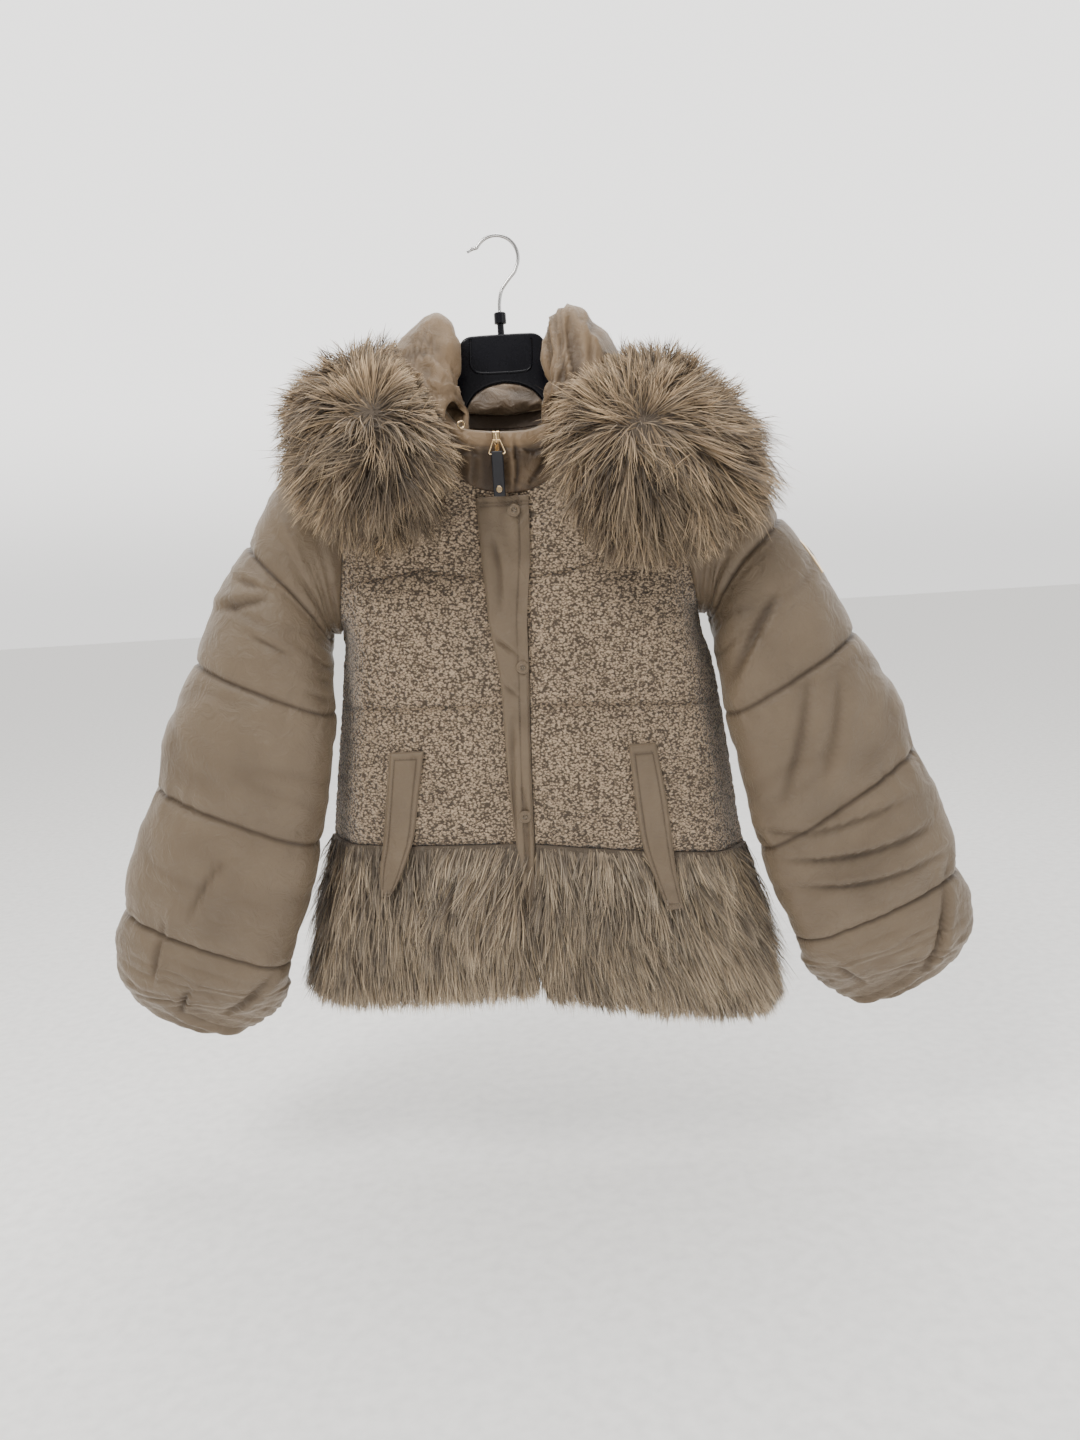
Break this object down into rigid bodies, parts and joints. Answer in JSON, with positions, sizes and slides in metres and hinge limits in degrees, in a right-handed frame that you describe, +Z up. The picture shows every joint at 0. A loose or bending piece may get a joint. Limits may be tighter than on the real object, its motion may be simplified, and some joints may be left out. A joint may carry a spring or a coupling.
{
  "type": "quilted hooded jacket on a hanger",
  "caption": "Short quilted jacket with boucle body panels, puffed sleeves, fur hem and a laid-back fur-trimmed hood, hanging on a black hanger.",
  "frame": {"origin": "inner top of the hanger's hook, where it hangs on a peg", "axes": "+Z up, the jacket's front faces -Y, +X is the right of somebody who looks at the front"},
  "size_m": [0.9614, 0.3041, 0.856],
  "materials": {
    "nylon": "smooth light-sheen taupe nylon, quilted",
    "collar_nylon": "smooth warm taupe nylon, padded",
    "boucle": "curly boucle pile, beige brown",
    "fur": "long grey-brown faux fur with pale tips",
    "hanger_plastic": "glossy black",
    "hook_steel": "bright steel wire",
    "gold_metal": "polished pale gold",
    "puller_leather": "black, fine grain"
  },
  "bodies": {
    "garment": {"back": "boucle", "collar": "collar_nylon", "front_left": "boucle", "front_right": "boucle", "fur_trim_left": "fur", "fur_trim_right": "fur", "hanger_body": "hanger_plastic", "hanger_hook": "hook_steel", "hanger_size_ring": "hanger_plastic", "hem_back": "fur", "hem_front_left": "fur", "hem_front_right": "fur", "hood": "collar_nylon", "placket": "nylon", "pocket_welt_left": "nylon", "pocket_welt_right": "nylon", "sleeve_badge": "gold_metal", "sleeve_left": "nylon", "sleeve_right": "nylon", "snap_1": "nylon", "snap_2": "nylon", "snap_3": "nylon", "zip_bail": "gold_metal", "zip_slider": "gold_metal"},
    "zip_pull": {"pull_ring": "gold_metal", "pull_tab": "puller_leather", "pull_rivet": "gold_metal"}
  },
  "joints": [
    {"name": "pull_hinge", "type": "hinge", "parent": "garment", "child": "zip_pull", "pos_m": [-0.0105, -0.08428, -0.2175], "axis": [-1, 0, 0], "range_deg": [0, 120]}
  ]
}
